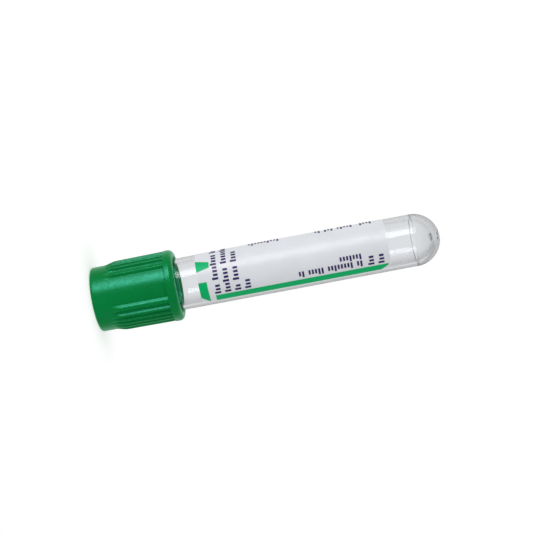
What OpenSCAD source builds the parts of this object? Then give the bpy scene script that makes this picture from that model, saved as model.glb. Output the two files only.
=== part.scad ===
// Blood collection tube: a clear round-ended tube, closed by a rubber stopper
// held inside a ribbed plastic shield, with a printed film label round it.
// Millimetres, +Z up. A tube on its side rolls, so this one stands on its head:
// the shield's flat top is on the ground and the round end points up. The
// origin is the middle of the shield's top. The front is towards -Y.

/* [Tube] */
// Outside diameter of the tube
tube_d = 13; // [11:0.5:16]
// Length of the tube from its mouth to the tip of its round end
tube_length = 75; // [70:1:110]
// Thickness of the tube's straight wall
tube_wall = 1; // [0.7:0.1:1.4]
// Thickness of the round end at its tip
tube_end_wall = 1.5; // [1:0.1:2]
// Rounding of the lip's inner and outer edges
lip_round = 0.25; // [0.1:0.05:0.3]
// Diameter of the moulding gate at the tip
gate_d = 2; // [1:0.2:3]
// Depth of the gate's dimple on the outside
gate_dimple = 0.5; // [0.2:0.1:0.7]
// Height of the gate's pip on the inside
gate_pip = 1.1; // [0.4:0.1:1.5]
// Depth of the mould line where the straight wall meets the round end
mould_line_depth = 0.06; // [0.02:0.02:0.1]

/* [Closure shield] */
// Length of the shield from its top to its rim
shield_length = 20.9; // [18:0.1:24]
// Depth of the tube's mouth below the shield's top
mouth_depth = 11.85; // [10:0.05:14]
// Thickness of the shield's top plate
top_wall = 2; // [1.4:0.1:2.6]
// Diameter of the needle port in the top plate
port_d = 7.4; // [5:0.1:8]
// Rounding of the top plate's outer edge
top_round = 0.5; // [0.2:0.1:1]
// Gap between the tube's outside and the skirt
skirt_gap = 0.45; // [0.3:0.05:0.8]
// Wall of the skirt at its ring, without the ribs
skirt_wall = 1.3; // [0.9:0.1:1.8]
// How much narrower in radius the top is than the skirt
shield_taper = 0.15; // [0:0.05:0.5]
// Height of the skirt ring along the tube
ring_height = 2.3; // [2:0.1:4]
// How far the skirt ring stands proud of the smooth panels
ring_proud = 0.7; // [0.65:0.05:1]
// Rounding of the skirt ring's lower edge
ring_round = 1.3; // [0.4:0.1:1.5]
// Rounding of the skirt ring's upper edge
ledge_round = 0.2; // [0.1:0.1:0.4]

/* [Grip ribs] */
// Number of smooth panels round the shield
panel_count = 3; // [2:1:4]
// Width of a smooth panel, in degrees
panel_angle = 50; // [40:1:60]
// Direction of the first panel's middle, in degrees from the front towards +X
panel_roll = -8.5; // [-60:0.5:60]
// Number of fine ribs between the two edge ribs of a group
fine_ribs = 4; // [1:1:4]
// Spacing of the fine ribs, in degrees
rib_angle = 9.5; // [7:0.5:10]
// Width of a rib
rib_w = 0.95; // [0.6:0.05:1.2]
// How far the ribs stand proud of the smooth panels
rib_proud = 0.6; // [0.3:0.05:0.6]
// Distance from the shield's top to where the ribs begin to rise
rib_start = 3.2; // [2:0.1:5]
// Length of the slope by which the ribs rise
rib_slope = 3.4; // [1.5:0.1:5]

/* [Stopper] */
// Thickness of the stopper's head under the top plate
head_height = 3; // [2:0.1:4]
// How much narrower in radius the head is than the tube
head_inset = 0.9; // [0.6:0.1:1.2]
// Thickness of the shield's inner ledge, which grips the stopper's neck
ledge_height = 1.5; // [1:0.1:2]
// How far the inner ledge reaches in under the head
ledge_reach = 0.6; // [0.3:0.1:0.9]
// Length of the plug inside the tube's bore
plug_length = 8.8; // [8:0.05:12]
// Chamfer at the plug's lower edge
plug_chamfer = 0.6; // [0.2:0.1:1]
// Diameter of the needle well at its mouth
well_d = 6.2; // [4:0.1:6.4]
// Diameter of the needle well at its floor
well_floor_d = 4.4; // [3:0.1:5]
// Depth of the needle well
well_depth = 4.5; // [2:0.1:6]
// Diameter of the recess under the plug
recess_d = 6.4; // [4:0.1:7]
// Depth of the recess under the plug, with its domed end
recess_depth = 8.5; // [5:0.1:10]
// Gap left round the plug in the tube's bore
plug_gap = 0.05; // [0.03:0.01:0.1]
// Gap left between the stopper and the shield that holds it
hold_gap = 0.05; // [0.03:0.01:0.1]
// Gap between the stopper's flange and the tube's lip
seat_gap = 0.02; // [0.01:0.01:0.05]

/* [Label] */
// Distance from the tube's mouth to the label
label_offset = 14.5; // [11:0.1:18]
// Length of the label along the tube
label_length = 47.2; // [44:0.1:50]
// Thickness of the label film
label_t = 0.08; // [0.06:0.01:0.15]
// How far the label wraps round the tube, in degrees
label_angle = 300; // [270:1:330]
// Direction of the label's striped edge, in degrees from the front towards +X
label_edge_roll = 58; // [40:1:80]
// Rounding of the label's corners
label_corner = 2; // [0.5:0.1:3]
// Thickness of the print on the film
print_t = 0.03; // [0.02:0.01:0.05]
// Air left under the film and under the print
film_gap = 0.02; // [0.02:0.01:0.04]

/* [Green print] */
// Width of the stripe along the label's edge, in degrees
stripe_angle = 16; // [8:1:20]
// Distance of the stripe and the block from the label's edge, in degrees
stripe_inset_angle = 1; // [0:0.5:3]
// Distance from the label's lower end to the stripe
stripe_start = 3.6; // [3:0.1:5]
// Length of the stripe
stripe_length = 43; // [20:0.1:43]
// Length of the slanted corner at the stripe's end
stripe_slant = 2; // [0.5:0.1:4]
// Width of the slanted corner at the stripe's end
stripe_slant_w = 1.4; // [0.3:0.1:1.8]
// Width of the corner block, in degrees
block_angle = 51; // [20:1:60]
// Height of the corner block
block_height = 2.1; // [1:0.1:2.5]
// Width of the slanted corner of the block
block_slant = 1.9; // [0.5:0.1:3]
// Middle of the fill wedge, in degrees from the label's edge
wedge_angle = 89; // [80:1:110]
// Width of the wedge at the label's end
wedge_w = 3.1; // [1.5:0.1:4]
// Width of the wedge at its tip
wedge_tip_w = 1; // [0.4:0.1:1.4]
// Height of the wedge
wedge_height = 3.3; // [1:0.1:3.3]

/* [Navy print] */
// Distance of the rows round the tube from the label's striped edge, in degrees
row_inset_angle = 21.5; // [18:0.5:30]
// Distance from the label's lower end to the first row round the tube
row_start = 3.6; // [3.4:0.1:4.5]
// Distance from row to row
row_step = 2.5; // [2:0.1:2.6]
// Height of the bars in a row round the tube
row_height = 1.5; // [0.8:0.1:1.8]
// Turn from bar to bar in a row round the tube, in degrees
row_angle = 8; // [6:0.5:9]
// Distance from the label's upper end to the last row round the tube
last_row_margin = 1.5; // [1:0.1:3]
// Distance from the label's upper end to the rows along the tube
column_margin = 2.9; // [2:0.1:4]
// Distance from bar to bar in a row along the tube
column_step = 0.8; // [0.6:0.05:0.85]
// How much of the way from bar to bar a bar fills
bar_share = 0.58; // [0.4:0.02:0.8]

/* [Hidden] */
$fn = 96;

// A name that ends in _r is a radius, and one in _u a height above the ground
tube_r = tube_d / 2;
bore_r = tube_r - tube_wall;
mouth_u = mouth_depth;
tip_u = mouth_u + tube_length;
round_u = tip_u - tube_r;
bore_round_u = tip_u - tube_end_wall - bore_r;
mould_line_r = 0.12;

skirt_r = tube_r + skirt_gap;
shield_r = skirt_r + skirt_wall;
shield_top_r = shield_r - shield_taper;
ring_r = shield_r + ring_proud;
ring_u = shield_length - ring_height;
ring_edge_r = ring_r - ring_round;
ring_edge_u = shield_length - ring_round;

group_angle = 360 / panel_count - panel_angle;
edge_rib_roll = (group_angle - rib_w / shield_r * 180 / PI) / 2;
rib_crest_cut = 0.05;
rib_middle_r = shield_r + rib_proud + rib_crest_cut - rib_w / 2;

head_r = tube_r - head_inset;
neck_r = head_r - ledge_reach;
flange_r = tube_r;
plug_r = bore_r - plug_gap;
head_u = top_wall + hold_gap;
neck_u = top_wall + head_height;
flange_u = neck_u + ledge_height;
flange_end_u = mouth_u - seat_gap;
plug_end_u = mouth_u + plug_length;

label_r = tube_r + film_gap;
print_r = label_r + label_t + film_gap;
label_u = mouth_u + label_offset;
label_end_u = label_u + label_length;
label_back_roll = label_edge_roll - label_angle;
print_edge_roll = label_edge_roll - stripe_inset_angle;

// Rows of plain bars that stand where small print would be. The rows round the
// tube count from the label's lower end, and the last rows from its upper end.
// Row number, bars in each word
round_rows = [[0, [3, 8, 2]], [1, [7, 8]], [2, [2, 4, 4]], [3, [3]]];
last_rows = [[0, [3]], [1, [3]]];
// First step, turn from the striped edge, height in degrees, bars in each word
long_rows = [
    [5, 22, 14, [2, 8, 5, 2]],
    [5, 39, 12, [7]],
    [0, 125, 24, [4]],
    [6, 125, 20, [5, 3, 2]],
    [29, 125, 24, [10]]
];

// How much wider the label's corner arcs are than their corners
corner_swell = 1.04;

// Cuts run this far past the faces that they open
over = 1;

// Turns what is drawn towards +X to a roll angle from the front towards +X
module turned(roll) {
    rotate([0, 0, roll - 90]) children();
}

// Half section of a solid round bar from one station to another
module bar(r, from_u, to_u) {
    translate([0, from_u]) square([r, to_u - from_u]);
}

// Half section of a round end that bulges towards +Z from a station
module dome(r, u) {
    intersection() {
        translate([0, u]) circle(r);
        translate([0, u]) square([r, r]);
    }
}

// A curved patch of film or ink that follows the tube
module patch(r, t, from_roll, to_roll, from_u, to_u) {
    turned(from_roll)
        rotate_extrude(angle = to_roll - from_roll)
            translate([r, from_u]) square([t, to_u - from_u]);
}

// A flat outline pushed out through the tube's side. Its x runs round the
// tube as a roll angle does, and its y up the tube.
module through_side(roll, u) {
    turned(roll) translate([0, 0, u]) rotate([90, 0, 90])
        linear_extrude(tube_d) children();
}

module lip_edges() {
    // What is cut from the lip's square corners to round them
    for (side = [0, 1]) {
        edge_r = side == 0 ? bore_r : tube_r - lip_round;
        centre_r = side == 0 ? bore_r + lip_round : tube_r - lip_round;
        difference() {
            translate([edge_r, mouth_u]) square(lip_round);
            translate([centre_r, mouth_u + lip_round]) circle(lip_round);
        }
    }
}

module tube() {
    color([0.86, 0.9, 0.92, 0.35]) difference() {
        union() {
            rotate_extrude() difference() {
                union() {
                    bar(tube_r, mouth_u, round_u);
                    dome(tube_r, round_u);
                }
                bar(bore_r, mouth_u - over, bore_round_u);
                dome(bore_r, bore_round_u);
                lip_edges();
            }
            translate([0, 0, tip_u - tube_end_wall - gate_pip])
                cylinder(r = gate_d / 2, h = gate_pip + tube_end_wall / 2);
        }
        translate([0, 0, tip_u - gate_dimple])
            cylinder(r = gate_d / 2, h = gate_dimple + over);
        rotate_extrude()
            translate([tube_r + mould_line_r - mould_line_depth, round_u]) circle(mould_line_r);
    }
}

module stopper() {
    color([0.02, 0.2, 0.12]) rotate_extrude() difference() {
        union() {
            bar(head_r, head_u, neck_u - hold_gap);
            bar(neck_r, head_u, flange_u + over);
            bar(flange_r, flange_u + hold_gap, flange_end_u);
            bar(plug_r, flange_u + over, plug_end_u - plug_chamfer);
            polygon([
                [0, plug_end_u - plug_chamfer], [plug_r, plug_end_u - plug_chamfer],
                [plug_r - plug_chamfer, plug_end_u], [0, plug_end_u]
            ]);
        }
        polygon([
            [0, head_u - over], [well_d / 2, head_u - over], [well_d / 2, head_u],
            [well_floor_d / 2, head_u + well_depth], [0, head_u + well_depth]
        ]);
        bar(recess_d / 2, plug_end_u - recess_depth + recess_d / 2, plug_end_u + over);
        translate([0, plug_end_u - recess_depth + recess_d / 2]) mirror([0, 1]) dome(recess_d / 2, 0);
    }
}

// Half section of the shield's outside without its ribs
module shield_outline() {
    bar(shield_top_r - top_round, 0, top_round + over);
    translate([shield_top_r - top_round, top_round]) circle(top_round);
    polygon([[0, top_round], [shield_top_r, top_round], [shield_r, ring_u + over], [0, ring_u + over]]);
    bar(ring_r - ledge_round, ring_u, ring_u + over);
    translate([ring_r - ledge_round, ring_u + ledge_round]) circle(ledge_round);
    bar(ring_r, ring_u + ledge_round, ring_edge_u);
    translate([ring_edge_r, ring_edge_u]) circle(ring_round);
    bar(ring_edge_r, ring_edge_u, shield_length);
}

// Half section of the room inside the shield
module shield_room() {
    bar(port_d / 2, -over, top_wall + over);
    bar(head_r + hold_gap, top_wall, neck_u);
    bar(neck_r + hold_gap, neck_u - over, flange_u + over);
    bar(skirt_r, flange_u, shield_length + over);
}

// Half section that the ribs are trimmed to: a slope, then a line beside the panels
module rib_outline() {
    rise_u = rib_start + rib_slope;
    start_r = shield_top_r + shield_taper * rib_start / ring_u;
    rise_r = shield_top_r + shield_taper * rise_u / ring_u + rib_proud;
    polygon([
        [0, rib_start], [start_r, rib_start], [rise_r, rise_u],
        [shield_r + rib_proud, ring_u + over], [0, ring_u + over]
    ]);
}

// One rib with a round crest, as high as the ring, that starts inside the wall
module rib_bar(roll) {
    turned(roll) translate([rib_middle_r, 0, rib_start])
        linear_extrude(ring_u + over - rib_start) {
            circle(rib_w / 2);
            translate([skirt_r - rib_middle_r, -rib_w / 2]) square([rib_middle_r - skirt_r, rib_w]);
        }
}

// The ribs between two panels: a rib along each panel's edge and fine ribs between
module rib_group(middle_roll) {
    for (side = [-1, 1]) rib_bar(middle_roll + side * edge_rib_roll);
    for (i = [0 : fine_ribs - 1])
        rib_bar(middle_roll + (i - (fine_ribs - 1) / 2) * rib_angle);
}

module closure_shield() {
    color([0, 0.5, 0.26]) difference() {
        union() {
            rotate_extrude() shield_outline();
            intersection() {
                rotate_extrude() rib_outline();
                for (i = [0 : panel_count - 1])
                    rib_group(panel_roll + (i + 0.5) * 360 / panel_count);
            }
        }
        rotate_extrude() shield_room();
    }
}

// What is cut from a square corner to round it. The corner is at the origin
// and the film lies towards +X and +Y. The arc is a little wider than the
// corner, so it meets the film's straight edges at a slight angle.
module corner_cut(r) {
    difference() {
        translate([-over, -over]) square(r + over);
        translate([r, r]) circle(r * corner_swell);
    }
}

module label_corners() {
    for (end = [0, 1], edge = [0, 1]) {
        roll = edge == 0 ? label_back_roll : label_edge_roll;
        u = end == 0 ? label_u : label_end_u;
        through_side(roll, u) mirror([edge, 0]) mirror([0, end]) corner_cut(label_corner);
    }
}

module label() {
    color([0.93, 0.94, 0.96]) difference() {
        patch(label_r, label_t, label_back_roll, label_edge_roll, label_u, label_end_u);
        label_corners();
    }
}

module green_stripe() {
    end_u = label_u + stripe_start + stripe_length;
    difference() {
        patch(print_r, print_t, print_edge_roll - stripe_angle, print_edge_roll,
            label_u + stripe_start, end_u);
        through_side(print_edge_roll, end_u)
            polygon([[-stripe_slant_w, 0], [0, -stripe_slant], [over, -stripe_slant],
                [over, over], [-stripe_slant_w, over]]);
    }
}

module green_block() {
    difference() {
        patch(print_r, print_t, print_edge_roll - block_angle, print_edge_roll,
            label_u, label_u + block_height);
        through_side(print_edge_roll, label_u)
            polygon([[-block_slant, 0], [-block_slant, -over], [over, -over],
                [over, block_height], [0, block_height]]);
    }
}

module green_wedge() {
    intersection() {
        patch(print_r, print_t, label_edge_roll - wedge_angle - 45, label_edge_roll - wedge_angle + 45,
            label_u, label_u + wedge_height);
        through_side(label_edge_roll - wedge_angle, label_u)
            polygon([[-wedge_w / 2, -over], [wedge_w / 2, -over], [wedge_w / 2, 0],
                [wedge_tip_w / 2, wedge_height + over], [-wedge_tip_w / 2, wedge_height + over],
                [-wedge_w / 2, 0]]);
    }
}

module label_green_print() {
    color([0.02, 0.68, 0.36]) {
        green_stripe();
        green_block();
        green_wedge();
    }
}

// Letters and spaces that come before a word in a row of words
function cells_before(words, n) = n == 0 ? 0 : cells_before(words, n - 1) + words[n - 1] + 1;

// A bar is tall at the start of a word and at every fifth place, and low elsewhere
function low_part(cell, place) = place == 0 || cell % 5 == 3 ? 0 : 0.25;

// A row of plain bars round the tube, away from the label's striped edge
module round_row(u, words) {
    for (w = [0 : len(words) - 1], i = [0 : words[w] - 1]) {
        cell = cells_before(words, w) + i;
        roll = label_edge_roll - row_inset_angle - cell * row_angle;
        patch(print_r, print_t, roll - row_angle * bar_share, roll,
            u + row_height * low_part(cell, i), u + row_height);
    }
}

// A row of plain bars along the tube, from its round end towards the shield
module long_row(u, inset, height, words) {
    for (w = [0 : len(words) - 1], i = [0 : words[w] - 1]) {
        cell = cells_before(words, w) + i;
        to_u = u - cell * column_step;
        to_roll = label_edge_roll - inset;
        patch(print_r, print_t, to_roll - height, to_roll - height * low_part(cell, i),
            to_u - column_step * bar_share, to_u);
    }
}

module label_navy_print() {
    last_row_u = label_end_u - last_row_margin - row_height;
    color([0.14, 0.1, 0.42]) {
        for (row = round_rows) round_row(label_u + row_start + row[0] * row_step, row[1]);
        for (row = last_rows) round_row(last_row_u - row[0] * row_step, row[1]);
        for (row = long_rows)
            long_row(label_end_u - column_margin - row[0] * column_step, row[1], row[2], row[3]);
    }
}

tube();
stopper();
closure_shield();
label();
label_green_print();
label_navy_print();
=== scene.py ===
"""The looks of a blood collection tube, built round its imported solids. The tube stands on its
closure with +Z towards its round end, and a roll angle runs from the front (-Y) towards +X."""

import math

import bmesh
import bpy
from mathutils import Matrix, Vector


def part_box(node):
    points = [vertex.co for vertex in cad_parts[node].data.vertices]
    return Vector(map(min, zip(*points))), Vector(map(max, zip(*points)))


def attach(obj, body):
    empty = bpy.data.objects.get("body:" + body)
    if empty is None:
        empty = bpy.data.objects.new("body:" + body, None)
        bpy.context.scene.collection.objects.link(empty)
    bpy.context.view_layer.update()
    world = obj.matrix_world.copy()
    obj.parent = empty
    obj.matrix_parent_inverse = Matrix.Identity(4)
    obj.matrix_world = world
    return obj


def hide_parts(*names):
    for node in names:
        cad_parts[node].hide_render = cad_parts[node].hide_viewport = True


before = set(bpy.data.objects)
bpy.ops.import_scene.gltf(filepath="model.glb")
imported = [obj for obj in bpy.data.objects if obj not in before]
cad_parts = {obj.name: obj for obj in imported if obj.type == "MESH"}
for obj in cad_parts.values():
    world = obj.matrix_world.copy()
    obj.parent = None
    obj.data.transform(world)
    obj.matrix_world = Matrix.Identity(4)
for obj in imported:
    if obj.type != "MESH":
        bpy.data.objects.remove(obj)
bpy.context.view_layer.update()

MM = 0.001


# ---------------------------------------------------------------- main sizes, in mm

def span(node):
    """Half width, lowest and highest point of a node."""
    low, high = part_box(node)
    return (high.x - low.x) / 2 / MM, low.z / MM, high.z / MM


TUBE_R, MOUTH_Z, GATE_RIM_Z = span("tube")
RING_R, _, SHIELD_END_Z = span("closure_shield")
_, HEAD_Z, PLUG_END_Z = span("stopper")
_, LABEL_Z, LABEL_END_Z = span("label")


# ---------------------------------------------------------------- details, in mm and degrees

# Tube. GATE_CREST is how far the soft rim of the gate's dimple stands over its edge, and TIP_Z is
# where the round end's tip would be without the dimple. The two angles say how far the round
# end's arcs stop short of the mould line outside and of the pip inside.
GATE_R = 1.0
GATE_DIMPLE = 0.3
GATE_CREST = 0.01
GATE_STEPS = 12
TIP_Z = GATE_RIM_Z - GATE_CREST + TUBE_R - math.sqrt(TUBE_R ** 2 - GATE_R ** 2)
WALL = 1.0
END_WALL = 1.5
BORE_R = TUBE_R - WALL
ROUND_Z = TIP_Z - TUBE_R
BORE_ROUND_Z = TIP_Z - END_WALL - BORE_R
PIP_HEIGHT = 0.85
PIP_ROUND = 0.6
PIP_FOOT = 0.1
PIP_FOOT_ANGLE = 1
LIP_ROUND = 0.25
MOULD_LINE_DEPTH = 0.06
MOULD_LINE_W = 0.12
MOULD_LINE_ANGLE = 1.2
TUBE_SEGMENTS = 192

# Closure shield
RING_Z = SHIELD_END_Z - 2.3
RING_ROUND = 1.3
RIM_ROUND = 0.55
LEDGE_ROUND = 0.2
SHIELD_R = RING_R - 0.7
SHIELD_TAPER = 0.15
TOP_R = SHIELD_R - SHIELD_TAPER
TOP_ROUND = 0.5
TOP_WALL = 2.0
PORT_R = 3.7
PORT_ROUND = 0.25
SKIRT_R = TUBE_R + 0.45
HEAD_R = TUBE_R - 0.9
NECK_R = HEAD_R - 0.6
NECK_Z = 5.0
FLANGE_Z = 6.5
HOLD_GAP = 0.05
SHIELD_SEGMENTS = 720

# Grip ribs, in groups between the smooth panels. Their pitch is an angle.
PANELS = 3
PANEL_ANGLE = 50
PANEL_ROLL = -8.5
FINE_RIBS = 4
RIB_PITCH = 9.5
RIB_W = 1.3
EDGE_RIB_W = 1.85
RIB_FLAT_SHARE = 0.3
RIB_PROUD = 0.6
RIB_START_Z = 3.2
RIB_FULL_Z = 6.6
VALLEY_DEPTH = 0.15
GROUP_ROLLS = [PANEL_ROLL + (i + 0.5) * 360 / PANELS for i in range(PANELS)]
GROUP_HALF = (360 / PANELS - PANEL_ANGLE - math.degrees(EDGE_RIB_W / SHIELD_R)) / 2

# Stopper
PLUG_R = BORE_R - 0.05
PLUG_ROUND = 1.4
WELL_R = 3.1
WELL_FLOOR_R = 2.2
WELL_DEPTH = 4.5
RECESS_R = 3.2
RECESS_DEPTH = 8.5
MOUTH_GAP = 0.02
RUBBER_ROUND = 0.3
STOPPER_SEGMENTS = 128

# Label. It wraps round the tube from its edge, towards smaller roll angles.
LABEL_IN_R = TUBE_R + 0.02
LABEL_T = 0.08
LABEL_EDGE_ROLL = 58.0
LABEL_WRAP = 300.0
LABEL_CORNER = 2.0
CORNER_STEPS = 10
LABEL_STEPS = 150
LABEL_ROWS = 40

# Meshes. NEAR is a length that counts as none, and an edge of at least SHARP_ANGLE stays sharp.
NEAR = 0.001
SHARP_ANGLE = 40


# ---------------------------------------------------------------- mesh helpers

def spot(radius, roll, z):
    """A point in metres from a radius and height in mm and a roll angle in degrees."""
    a = math.radians(roll)
    return Vector((radius * math.sin(a), -radius * math.cos(a), z)) * MM


def smooth(x):
    """0 below 0, 1 above 1, and a soft step between them."""
    x = min(max(x, 0.0), 1.0)
    return x * x * (3 - 2 * x)


def arc(centre_r, centre_z, radius, start, end, steps):
    """Points of an arc of a half section. Angles in degrees run from outwards towards +Z."""
    points = []
    for i in range(steps + 1):
        a = math.radians(start + (end - start) * i / steps)
        points.append((centre_r + radius * math.cos(a), centre_z + radius * math.sin(a)))
    return points


def line(start, end, steps):
    """Points of a straight stretch of a half section, without its ends."""
    return [(start[0] + (end[0] - start[0]) * i / steps, start[1] + (end[1] - start[1]) * i / steps)
            for i in range(1, steps)]


def lathe(section, segments, radius_at=None):
    """Vertices and faces of a closed half section turned about the Z axis. Points at radius 0
    become poles. radius_at(index, radius, z, roll) may change a point's radius."""
    verts, rows = [], []
    for j, (radius, z) in enumerate(section):
        if radius < NEAR:
            rows.append([len(verts)])
            verts.append(spot(0, 0, z))
            continue
        rows.append(range(len(verts), len(verts) + segments))
        for i in range(segments):
            roll = 360 * i / segments
            r = radius_at(j, radius, z, roll) if radius_at else radius
            verts.append(spot(r, roll, z))
    faces = []
    closed = len(rows[0]) > 1
    for j in range(len(rows) if closed else len(rows) - 1):
        a, b = rows[j], rows[(j + 1) % len(rows)]
        for i in range(segments):
            k = (i + 1) % segments
            if len(a) == 1:
                faces.append((a[0], b[k], b[i]))
            elif len(b) == 1:
                faces.append((a[i], a[k], b[0]))
            else:
                faces.append((a[i], a[k], b[k], b[i]))
    return verts, faces


def add_object(name, data):
    """A new object in the scene."""
    thing = bpy.data.objects.new(name, data)
    bpy.context.scene.collection.objects.link(thing)
    return thing


def add_piece(name, verts, faces, body, replaced, finish):
    """Makes a smooth piece that rides on a body and stands for a CAD node."""
    mesh = bpy.data.meshes.new(name)
    mesh.from_pydata(verts, [], faces)
    mesh.polygons.foreach_set("use_smooth", [True] * len(mesh.polygons))
    shape = bmesh.new()
    shape.from_mesh(mesh)
    bmesh.ops.recalc_face_normals(shape, faces=shape.faces)
    shape.to_mesh(mesh)
    shape.free()
    mesh.set_sharp_from_angle(angle=math.radians(SHARP_ANGLE))
    mesh.materials.append(finish)
    piece = add_object(name, mesh)
    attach(piece, body)
    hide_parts(replaced)
    return piece


# ---------------------------------------------------------------- node helpers

class Nodes:
    """The node tree of a material or world, with short calls to add and join nodes."""

    def __init__(self, owner):
        owner.use_nodes = True
        self.tree = owner.node_tree
        self.tree.nodes.clear()

    def add(self, kind, **values):
        node = self.tree.nodes.new(kind)
        for key, value in values.items():
            setattr(node, key, value)
        return node

    def feed(self, node, name, value):
        """Joins another node's output to an input, or sets the input to a plain value."""
        if isinstance(value, bpy.types.NodeSocket):
            self.tree.links.new(value, node.inputs[name])
        else:
            node.inputs[name].default_value = value

    def math(self, operation, first, second):
        """The output of a Math node."""
        node = self.add("ShaderNodeMath", operation=operation)
        self.feed(node, 0, first)
        self.feed(node, 1, second)
        return node.outputs[0]

    def map_range(self, value, low, high, to_low, to_high, kind="LINEAR"):
        """The output of a Map Range node."""
        node = self.add("ShaderNodeMapRange", interpolation_type=kind)
        self.feed(node, "Value", value)
        self.feed(node, "From Min", low)
        self.feed(node, "From Max", high)
        self.feed(node, "To Min", to_low)
        self.feed(node, "To Max", to_high)
        return node.outputs["Result"]

    def soft_step(self, value, low, high, to_low, to_high):
        """The output of a Map Range node with soft ends."""
        return self.map_range(value, low, high, to_low, to_high, "SMOOTHSTEP")

    def mix(self, share, first, second):
        """Two shaders mixed. share is the second one's part."""
        node = self.add("ShaderNodeMixShader")
        self.feed(node, "Fac", share)
        self.feed(node, 1, first)
        self.feed(node, 2, second)
        return node.outputs["Shader"]

    def shown_background(self):
        """Two outputs that are 1 for rays that show the background: all of them, which are from
        the camera, a gloss or a clear piece, and those from a gloss or a clear piece alone."""
        path = self.add("ShaderNodeLightPath").outputs
        mirrored = self.math("MAXIMUM", path["Is Glossy Ray"], path["Is Transmission Ray"])
        return self.math("MAXIMUM", path["Is Camera Ray"], mirrored), mirrored


class Shader(Nodes):
    """A material with one Principled shader. Its plain values are given by name."""

    def __init__(self, name, **values):
        self.material = bpy.data.materials.new(name)
        super().__init__(self.material)
        self.output = self.add("ShaderNodeOutputMaterial")
        self.principled = self.add("ShaderNodeBsdfPrincipled")
        self.feed(self.output, "Surface", self.principled.outputs["BSDF"])
        for key, value in values.items():
            self.feed(self.principled, key.replace("_", " "), value)

    def noise(self, scale, detail=3.0, roughness=0.5, stretch=(1, 1, 1)):
        """Noise in the object's own space. scale is in cycles a metre."""
        place = self.add("ShaderNodeTexCoord")
        mapping = self.add("ShaderNodeMapping")
        self.feed(mapping, "Vector", place.outputs["Object"])
        self.feed(mapping, "Scale", stretch)
        node = self.add("ShaderNodeTexNoise")
        self.feed(node, "Vector", mapping.outputs["Vector"])
        self.feed(node, "Scale", scale)
        self.feed(node, "Detail", detail)
        self.feed(node, "Roughness", roughness)
        return node.outputs["Fac"]

    def vary_colour(self, source, band, first, second):
        """Runs the base colour from the first to the second as source runs through band."""
        mixed = self.add("ShaderNodeMix", data_type="RGBA")
        self.feed(mixed, "Factor", self.map_range(source, *band, 0, 1))
        self.feed(mixed, "A", (*first, 1))
        self.feed(mixed, "B", (*second, 1))
        self.feed(self.principled, "Base Color", mixed.outputs["Result"])

    def vary_roughness(self, source, band, first, second):
        """Runs the roughness from the first to the second as source runs through band."""
        self.feed(self.principled, "Roughness", self.map_range(source, *band, first, second))

    def bump(self, *layers):
        """Adds bump layers, each a (source, height in mm)."""
        previous = None
        for source, height in layers:
            node = self.add("ShaderNodeBump")
            self.feed(node, "Height", source)
            self.feed(node, "Distance", height * MM)
            self.feed(node, "Strength", 1.0)
            if previous is not None:
                self.feed(node, "Normal", previous)
            previous = node.outputs["Normal"]
        self.feed(self.principled, "Normal", previous)

    def let_light_in(self, share):
        """Lets this share of the lamps' light straight through to what is behind."""
        path = self.add("ShaderNodeLightPath")
        open_way = self.add("ShaderNodeBsdfTransparent")
        self.feed(open_way, "Color", share)
        mixed = self.mix(path.outputs["Is Shadow Ray"], self.principled.outputs["BSDF"],
                         open_way.outputs["BSDF"])
        self.feed(self.output, "Surface", mixed)


# ---------------------------------------------------------------- materials

# Base colours, each as the two that the surface runs between
# The clear plastic's second colour is painted shade for its edges, where it is seen at a slant.
CLEAR_AND_EDGE_SHADE = ((0.97, 0.98, 0.99), (0.62, 0.64, 0.66))
GREEN = ((0.0, 0.19, 0.028), (0.0, 0.225, 0.038))
RUBBER = ((0.0, 0.27, 0.12), (0.0, 0.32, 0.14))
FILM = ((0.72, 0.74, 0.78), (0.77, 0.79, 0.83))
GREEN_INK = ((0.0, 0.43, 0.125), (0.0, 0.48, 0.145))
NAVY_INK = ((0.02, 0.011, 0.09), (0.04, 0.025, 0.14))

# The clear plastic's tint in its depth, and the share of the lamps' light that is let through
CLEAR_DEPTH = (0.5, 0.51, 0.53, 1)
CLEAR_DENSITY = 245
CLEAR_PASS = (0.95, 0.96, 0.97, 1)
FILM_PASS = (0.85, 0.85, 0.87, 1)

# Tints of the gloss
CLEAR_GLOSS = (0.54, 0.55, 0.56, 1)
GREEN_GLOSS = (0.18, 1.0, 0.88, 1)
GREEN_SHEEN = (0.0, 1.0, 0.55, 1)
GREEN_INK_GLOSS = (0.3, 1, 0.9, 1)
NAVY_INK_GLOSS = (0.8, 0.7, 1, 1)

# Bands of a noise, and of the slant, over which a surface runs from one look to the other
WIDE = (0.3, 0.7)
NARROW = (0.35, 0.65)
# The slant band is where the clear plastic's painted edge shade comes in.
EDGE_SHADE_SLANT = (0.45, 0.95)


def clear_plastic():
    """Clear moulded plastic, a little grey, with painted shade that darkens its edges where it is
    seen at a slant. Rays from the lamps pass straight through it, so that what is inside is lit."""
    s = Shader("clear_plastic", IOR=1.48, Transmission_Weight=1.0, Roughness=0.02,
               Specular_Tint=CLEAR_GLOSS)
    slant = s.add("ShaderNodeLayerWeight")
    s.feed(slant, "Blend", 0.5)
    # Painted shade: the base colour darkens towards the edges, where the plastic is seen at a
    # slant.
    s.vary_colour(slant.outputs["Facing"], EDGE_SHADE_SLANT, *CLEAR_AND_EDGE_SHADE)
    s.bump((s.noise(160, detail=2.0, stretch=(1, 1, 0.25)), 0.006))
    absorb = s.add("ShaderNodeVolumeAbsorption")
    s.feed(absorb, "Color", CLEAR_DEPTH)
    s.feed(absorb, "Density", CLEAR_DENSITY)
    s.feed(s.output, "Volume", absorb.outputs["Volume"])
    s.let_light_in(CLEAR_PASS)
    return s.material


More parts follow.
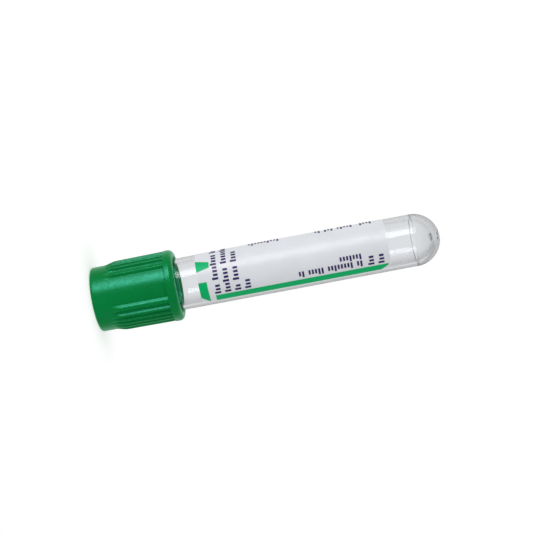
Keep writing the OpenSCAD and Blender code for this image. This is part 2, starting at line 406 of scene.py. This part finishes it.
def green_plastic():
    """Moulded green plastic with a fine grain and a cool gloss."""
    s = Shader("green_plastic", Specular_IOR_Level=0.58, Specular_Tint=GREEN_GLOSS,
               Sheen_Weight=0.3, Sheen_Roughness=0.4, Sheen_Tint=GREEN_SHEEN)
    s.vary_colour(s.noise(90, detail=4.0), WIDE, *GREEN)
    s.vary_roughness(s.noise(1400), NARROW, 0.2, 0.32)
    s.bump((s.noise(2600, detail=2.0), 0.01), (s.noise(500, stretch=(1, 1, 0.5)), 0.03))
    return s.material


def stopper_rubber():
    """Dull green rubber with a fine grain."""
    s = Shader("stopper_rubber", Specular_IOR_Level=0.05)
    cloud = s.noise(300, detail=4.0)
    s.vary_colour(cloud, WIDE, *RUBBER)
    s.vary_roughness(cloud, WIDE, 0.75, 0.9)
    s.bump((s.noise(3500), 0.01))
    return s.material


def label_film():
    """White film with a satin gloss. A share of the lamps' light passes through it."""
    s = Shader("label_film", Specular_IOR_Level=0.36)
    s.vary_colour(s.noise(120, detail=5.0, roughness=0.6), WIDE, *FILM)
    s.vary_roughness(s.noise(900), WIDE, 0.3, 0.42)
    s.bump((s.noise(2500), 0.004), (s.noise(150, detail=2.0), 0.03))
    s.let_light_in(FILM_PASS)
    return s.material


def ink(name, colours, gloss):
    """Printed ink with a fine grain, on the film."""
    s = Shader(name, Specular_IOR_Level=0.36, Specular_Tint=gloss)
    grain = s.noise(5000, detail=2.0)
    s.vary_colour(grain, NARROW, *colours)
    s.vary_roughness(grain, WIDE, 0.34, 0.46)
    return s.material


# ---------------------------------------------------------------- pieces

def tube_section():
    """From the tip's outside down the wall, round the lip and back up the bore to the tip."""
    outside = [(0, TIP_Z - GATE_DIMPLE)]
    for i in range(1, GATE_STEPS):
        r = GATE_R * i / GATE_STEPS
        dimple = GATE_DIMPLE * (1 - smooth(i / GATE_STEPS))
        outside.append((r, ROUND_Z + math.sqrt(TUBE_R ** 2 - r ** 2) - dimple))
    gate_angle = math.degrees(math.acos(GATE_R / TUBE_R))
    outside += arc(0, ROUND_Z, TUBE_R, gate_angle, MOULD_LINE_ANGLE, steps=40)
    groove = MOULD_LINE_W / 2
    outside += [(TUBE_R, ROUND_Z + groove), (TUBE_R - MOULD_LINE_DEPTH, ROUND_Z),
                (TUBE_R, ROUND_Z - groove)]
    outside += line(outside[-1], (TUBE_R, MOUTH_Z + LIP_ROUND), steps=24)
    lip = arc(TUBE_R - LIP_ROUND, MOUTH_Z + LIP_ROUND, LIP_ROUND, 0, -90, steps=5)
    lip += arc(BORE_R + LIP_ROUND, MOUTH_Z + LIP_ROUND, LIP_ROUND, -90, -180, steps=5)
    inside = line(lip[-1], (BORE_R, BORE_ROUND_Z), steps=24)
    pip_angle = math.degrees(math.acos(GATE_R / BORE_R))
    inside += arc(0, BORE_ROUND_Z, BORE_R, 0, pip_angle - PIP_FOOT_ANGLE, steps=36)
    foot_z = BORE_ROUND_Z + BORE_R * math.sin(math.radians(pip_angle)) - PIP_FOOT
    pip_z = TIP_Z - END_WALL - PIP_HEIGHT
    inside += [(GATE_R, foot_z)]
    inside += arc(GATE_R - PIP_ROUND, pip_z + PIP_ROUND, PIP_ROUND, 0, -90, steps=8)
    inside += [(0, pip_z)]
    return outside + lip + inside


def make_tube():
    """The tube. Diffuse light passes straight through it, as the lamps' light does."""
    verts, faces = lathe(tube_section(), TUBE_SEGMENTS)
    tube = add_piece("tube_clear", verts, faces, "tube_body", "tube",
                     clear_plastic())
    tube.visible_diffuse = False


def shield_outside():
    """From the port's edge over the flat top, along the wall and round the ring to the rim."""
    points = arc(PORT_R + PORT_ROUND, PORT_ROUND, PORT_ROUND, -180, -90, steps=4)
    points += line(points[-1], (TOP_R - TOP_ROUND, 0), steps=5)
    points += arc(TOP_R - TOP_ROUND, TOP_ROUND, TOP_ROUND, -90, 0, steps=6)
    points += line(points[-1], (SHIELD_R, RING_Z), steps=44)
    points += [(SHIELD_R, RING_Z)]
    points += line(points[-1], (RING_R - LEDGE_ROUND, RING_Z), steps=3)
    points += arc(RING_R - LEDGE_ROUND, RING_Z + LEDGE_ROUND, LEDGE_ROUND, -90, 0, steps=5)
    points += line(points[-1], (RING_R, SHIELD_END_Z - RING_ROUND), steps=4)
    points += arc(RING_R - RING_ROUND, SHIELD_END_Z - RING_ROUND, RING_ROUND, 0, 90, steps=10)
    return points


def shield_inside():
    """From the rim along the skirt and past the ledge that grips the neck, back to the port."""
    points = arc(SKIRT_R + RIM_ROUND, SHIELD_END_Z - RIM_ROUND, RIM_ROUND, 90, 180, steps=6)
    points += line(points[-1], (SKIRT_R, FLANGE_Z), steps=8)
    points += [(SKIRT_R, FLANGE_Z), (NECK_R + HOLD_GAP, FLANGE_Z), (NECK_R + HOLD_GAP, NECK_Z),
               (HEAD_R + HOLD_GAP, NECK_Z), (HEAD_R + HOLD_GAP, TOP_WALL), (PORT_R, TOP_WALL)]
    return points


def ribs():
    """The roll angle of every rib's middle with the rib's width."""
    found = []
    for middle in GROUP_ROLLS:
        found += [(middle - GROUP_HALF, EDGE_RIB_W), (middle + GROUP_HALF, EDGE_RIB_W)]
        for k in range(FINE_RIBS):
            found.append((middle + (k - (FINE_RIBS - 1) / 2) * RIB_PITCH, RIB_W))
    return found


def between(roll, other):
    """The angle between two roll angles."""
    return abs((roll - other + 180) % 360 - 180)


def relief(roll, grips):
    """Height at this roll over the smooth panels. A rib has sloped sides and soft edges, and the
    valleys inside a group lie a little below the panels."""
    in_group = any(between(roll, middle) < GROUP_HALF for middle in GROUP_ROLLS)
    best = -VALLEY_DEPTH if in_group else 0.0
    for middle, width in grips:
        off = math.radians(between(roll, middle)) * SHIELD_R / (width / 2)
        slope = min(max((1 - off) / (1 - RIB_FLAT_SHARE), -1.0), 1.0)
        best = max(best, RIB_PROUD * (slope + smooth(slope)) / 2)
    return best


def make_shield():
    """The shield. Its ribs rise out of the wall a little way from its top and run to the ring."""
    outside = shield_outside()
    grips = ribs()
    reliefs = [relief(360 * i / SHIELD_SEGMENTS, grips) for i in range(SHIELD_SEGMENTS)]

    def radius_at(index, radius, z, roll):
        ribbed = RIB_START_Z <= z <= RING_Z + LEDGE_ROUND + NEAR
        if index >= len(outside) or not ribbed:
            return radius
        rise = smooth((z - RIB_START_Z) / (RIB_FULL_Z - RIB_START_Z))
        height = rise * reliefs[round(roll * SHIELD_SEGMENTS / 360) % SHIELD_SEGMENTS]
        wall = min(TOP_R + SHIELD_TAPER * z / RING_Z, SHIELD_R)
        if height > 0 or radius > wall + NEAR:
            return max(radius, wall + height)
        return wall + height

    verts, faces = lathe(outside + shield_inside(), SHIELD_SEGMENTS, radius_at)
    add_piece("shield_green", verts, faces, "closure_body", "closure_shield",
              green_plastic())


def stopper_section():
    """From the well's floor out over the head, up the plug and back down the recess."""
    soft = RUBBER_ROUND
    head_end = NECK_Z - HOLD_GAP
    flange_z = FLANGE_Z + HOLD_GAP
    flange_end = MOUTH_Z - MOUTH_GAP
    dome_z = PLUG_END_Z - RECESS_DEPTH + RECESS_R
    points = [(0, HEAD_Z + WELL_DEPTH)]
    points += arc(WELL_FLOOR_R - soft, HEAD_Z + WELL_DEPTH - soft, soft, 90, 10, steps=4)
    points += line(points[-1], (WELL_R, HEAD_Z + soft), steps=4)
    points += arc(WELL_R + soft, HEAD_Z + soft, soft, 180, 270, steps=4)
    points += arc(HEAD_R - soft, HEAD_Z + soft, soft, -90, 0, steps=4)
    points += arc(HEAD_R - soft, head_end - soft, soft, 0, 90, steps=4)
    points += [(NECK_R, head_end), (NECK_R, flange_z)]
    points += arc(TUBE_R - soft, flange_z + soft, soft, -90, 0, steps=4)
    points += [(TUBE_R, flange_end), (PLUG_R, flange_end)]
    points += line(points[-1], (PLUG_R, PLUG_END_Z - PLUG_ROUND), steps=6)
    points += arc(PLUG_R - PLUG_ROUND, PLUG_END_Z - PLUG_ROUND, PLUG_ROUND, 0, 90, steps=5)
    points += arc(RECESS_R + soft, PLUG_END_Z - soft, soft, 90, 180, steps=4)
    points += line(points[-1], (RECESS_R, dome_z), steps=4)
    points += arc(0, dome_z, RECESS_R, 0, -88, steps=14)
    points += [(0, PLUG_END_Z - RECESS_DEPTH)]
    return points


def make_stopper():
    """The stopper, which stays in the shield."""
    verts, faces = lathe(stopper_section(), STOPPER_SEGMENTS)
    add_piece("stopper_rubber", verts, faces, "closure_body", "stopper",
              stopper_rubber())


def label_columns():
    """Roll angles of the film's columns with the lowest and highest point of each, so that
    the four corners come out round."""
    corner = [LABEL_CORNER * (1 - math.cos(math.radians(90 * i / CORNER_STEPS)))
              for i in range(CORNER_STEPS + 1)]
    whole = math.radians(LABEL_WRAP) * LABEL_IN_R
    straight = whole - 2 * corner[-1]
    middle = [corner[-1] + straight * i / LABEL_STEPS for i in range(1, LABEL_STEPS)]
    columns = []
    for place in corner + middle + [whole - x for x in reversed(corner)]:
        edge = min(place, whole - place)
        trim = 0.0
        if edge < LABEL_CORNER:
            trim = LABEL_CORNER - math.sqrt(LABEL_CORNER ** 2 - (LABEL_CORNER - edge) ** 2)
        roll = LABEL_EDGE_ROLL - LABEL_WRAP + math.degrees(place / LABEL_IN_R)
        columns.append((roll, LABEL_Z + trim, LABEL_END_Z - trim))
    return columns


def make_label():
    """The film. It is thin and white, so diffuse light reaches the tube's inside through it."""
    rows = LABEL_ROWS
    columns = label_columns()
    verts, faces = [], []
    for radius in (LABEL_IN_R, LABEL_IN_R + LABEL_T):
        for roll, low, high in columns:
            for j in range(rows + 1):
                verts.append(spot(radius, roll, low + (high - low) * j / rows))
    sheet = len(columns) * (rows + 1)
    last = len(columns) - 1

    def at(side, i, j):
        return side * sheet + i * (rows + 1) + j

    for i in range(last):
        for j in range(rows):
            faces.append((at(1, i, j), at(1, i + 1, j), at(1, i + 1, j + 1), at(1, i, j + 1)))
            faces.append((at(0, i, j), at(0, i, j + 1), at(0, i + 1, j + 1), at(0, i + 1, j)))
        faces.append((at(0, i, 0), at(0, i + 1, 0), at(1, i + 1, 0), at(1, i, 0)))
        faces.append((at(1, i, rows), at(1, i + 1, rows), at(0, i + 1, rows), at(0, i, rows)))
    for j in range(rows):
        faces.append((at(0, 0, j), at(1, 0, j), at(1, 0, j + 1), at(0, 0, j + 1)))
        faces.append((at(1, last, j), at(0, last, j), at(0, last, j + 1), at(1, last, j + 1)))
    label = add_piece("label_white", verts, faces, "tube_body", "label",
                      label_film())
    label.visible_diffuse = False


def dress(node, finish):
    """Gives a carried CAD node its material."""
    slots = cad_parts[node].data.materials
    slots.clear()
    slots.append(finish)


# ---------------------------------------------------------------- camera, light and floor

# Camera, in mm and degrees
CAMERA_TARGET = (-0.34, 0, 43.28)
CAMERA_DISTANCE = 294.28
CAMERA_ELEVATION = 2.44
CAMERA_ROLL = 79.33
CAMERA_LENS = 79.72
CAMERA_SENSOR = 36

# World. A level is how bright it is, where 1 is white. A band is a stretch of the X or Y of a
# ray's direction over which one level turns to another.
AMBIENT = 0.75
GLOSS_FRONT = 0.2
GLOSS_BACK = 0.72
GLOSS_BAND = (0.15, 0.8)
SIDE_SHADE = 0.7
SIDE_BAND = (0.04, 0.24)
SIDE_END_BAND = (0.4, 0.7)

# Floor, in metres
FLOOR_HALF = 3.0
FLOOR_Z = -0.00002
FLOOR_GREY = (0.9, 0.9, 0.9, 1)
FLOOR_LIFT = 0.4
FLOOR_FADE = (0.02, 0.14)

# What the lamps are aimed at, in metres
LAMP_TARGET = (0, 0, 0.043)


def make_camera():
    """Looks along +Y at the middle of the standing tube, rolled so that the closure is on the
    left of the picture and the round end on the right."""
    data = bpy.data.cameras.new("camera")
    data.sensor_width = CAMERA_SENSOR
    data.lens = CAMERA_LENS
    camera = add_object("camera", data)
    elevation = math.radians(CAMERA_ELEVATION)
    back = Vector((0, -math.cos(elevation), math.sin(elevation)))
    place = Vector(CAMERA_TARGET) * MM + back * CAMERA_DISTANCE * MM
    upright = (-back).to_track_quat("-Z", "Y").to_matrix().to_4x4()
    rolled = upright @ Matrix.Rotation(math.radians(CAMERA_ROLL), 4, "Z")
    camera.matrix_world = Matrix.Translation(place) @ rolled
    bpy.context.scene.camera = camera


def make_world():
    """Even soft light, with white where the background shows. A gloss mirrors a dim room in
    front of the object and a lighter one behind it. Glosses and clear pieces also show a soft
    dim strip beside the object, away from the lamps."""
    world = bpy.data.worlds.new("studio")
    bpy.context.scene.world = world
    nodes = Nodes(world)
    place = nodes.add("ShaderNodeTexCoord")
    split = nodes.add("ShaderNodeSeparateXYZ")
    nodes.feed(split, "Vector", place.outputs["Generated"])
    shown, mirrored = nodes.shown_background()
    level = nodes.soft_step(shown, 0, 1, AMBIENT, 1)
    # A ray through a clear piece counts as glossy too, and is taken out again here.
    path = nodes.add("ShaderNodeLightPath").outputs
    gloss = nodes.math("SUBTRACT", path["Is Glossy Ray"], path["Is Transmission Ray"])
    gloss = nodes.math("MAXIMUM", gloss, 0)
    room = nodes.soft_step(split.outputs["Y"], *GLOSS_BAND, GLOSS_FRONT - 1, GLOSS_BACK - 1)
    room_loss = nodes.math("MULTIPLY", room, gloss)
    side = nodes.soft_step(split.outputs["X"], *SIDE_BAND, 0, SIDE_SHADE - 1)
    side_end = nodes.soft_step(split.outputs["X"], *SIDE_END_BAND, 1, 0)
    side_loss = nodes.math("MULTIPLY", nodes.math("MULTIPLY", side, side_end), mirrored)
    for loss in (room_loss, side_loss):
        level = nodes.math("MULTIPLY", level, nodes.math("ADD", loss, 1))
    background = nodes.add("ShaderNodeBackground")
    nodes.feed(background, "Color", (1, 1, 1, 1))
    nodes.feed(background, "Strength", level)
    output = nodes.add("ShaderNodeOutputWorld")
    nodes.feed(output, "Surface", background.outputs["Background"])


def floor_white():
    """Pale and lit near the object, and plain white further out. From below it isn't seen."""
    material = bpy.data.materials.new("floor_white")
    nodes = Nodes(material)
    shown, _ = nodes.shown_background()
    diffuse = nodes.add("ShaderNodeBsdfDiffuse")
    nodes.feed(diffuse, "Color", FLOOR_GREY)
    glow = nodes.add("ShaderNodeEmission")
    nodes.feed(glow, "Strength", nodes.math("MULTIPLY", shown, FLOOR_LIFT))
    lit = nodes.add("ShaderNodeAddShader")
    nodes.feed(lit, 0, diffuse.outputs["BSDF"])
    nodes.feed(lit, 1, glow.outputs["Emission"])
    place = nodes.add("ShaderNodeTexCoord")
    length = nodes.add("ShaderNodeVectorMath", operation="LENGTH")
    nodes.feed(length, 0, place.outputs["Object"])
    fade = nodes.soft_step(length.outputs["Value"], *FLOOR_FADE, 0, 1)
    white = nodes.add("ShaderNodeEmission")
    top = nodes.mix(nodes.math("MULTIPLY", fade, shown), lit.outputs["Shader"],
                    white.outputs["Emission"])
    face = nodes.add("ShaderNodeNewGeometry")
    unseen = nodes.add("ShaderNodeBsdfTransparent")
    output = nodes.add("ShaderNodeOutputMaterial")
    nodes.feed(output, "Surface", nodes.mix(face.outputs["Backfacing"], top,
                                            unseen.outputs["BSDF"]))
    return material


def make_floor():
    """A floor that keeps the object's shadow. Only the camera sees it, so it adds no light."""
    corners = [(-1, -1), (1, -1), (1, 1), (-1, 1)]
    mesh = bpy.data.meshes.new("floor")
    mesh.from_pydata([(FLOOR_HALF * x, FLOOR_HALF * y, FLOOR_Z) for x, y in corners], [],
                     [(0, 1, 2, 3)])
    mesh.materials.append(floor_white())
    floor = add_object("floor", mesh)
    floor.visible_shadow = False
    floor.visible_glossy = False
    floor.visible_transmission = False
    floor.visible_diffuse = False


def softbox(name, roll, distance, height, size, power, only_gloss=False):
    """A rectangular lamp at a roll angle, aimed at the object's middle. Lengths in metres."""
    data = bpy.data.lights.new(name, "AREA")
    data.shape = "RECTANGLE"
    data.size, data.size_y = size
    data.energy = power
    lamp = add_object(name, data)
    a = math.radians(roll)
    lamp.location = (distance * math.sin(a), -distance * math.cos(a), height)
    towards = Vector(LAMP_TARGET) - lamp.location
    lamp.rotation_euler = towards.to_track_quat("-Z", "Y").to_euler()
    lamp.visible_camera = False
    lamp.visible_diffuse = not only_gloss


def make_studio():
    """The camera, the world, the floor, the key lamp, and a lamp for the highlights alone."""
    make_camera()
    make_world()
    make_floor()
    softbox("key", roll=-50, distance=0.9, height=0.03, size=(0.50, 0.46), power=2.2)
    softbox("key_gloss", roll=-42, distance=0.8, height=0.03, size=(0.36, 0.46), power=2.3,
            only_gloss=True)
    bpy.context.scene.view_settings.view_transform = "Standard"


make_studio()
make_tube()
make_shield()
make_stopper()
make_label()
dress("label_green_print", ink("green_ink", GREEN_INK, GREEN_INK_GLOSS))
dress("label_navy_print", ink("navy_ink", NAVY_INK, NAVY_INK_GLOSS))
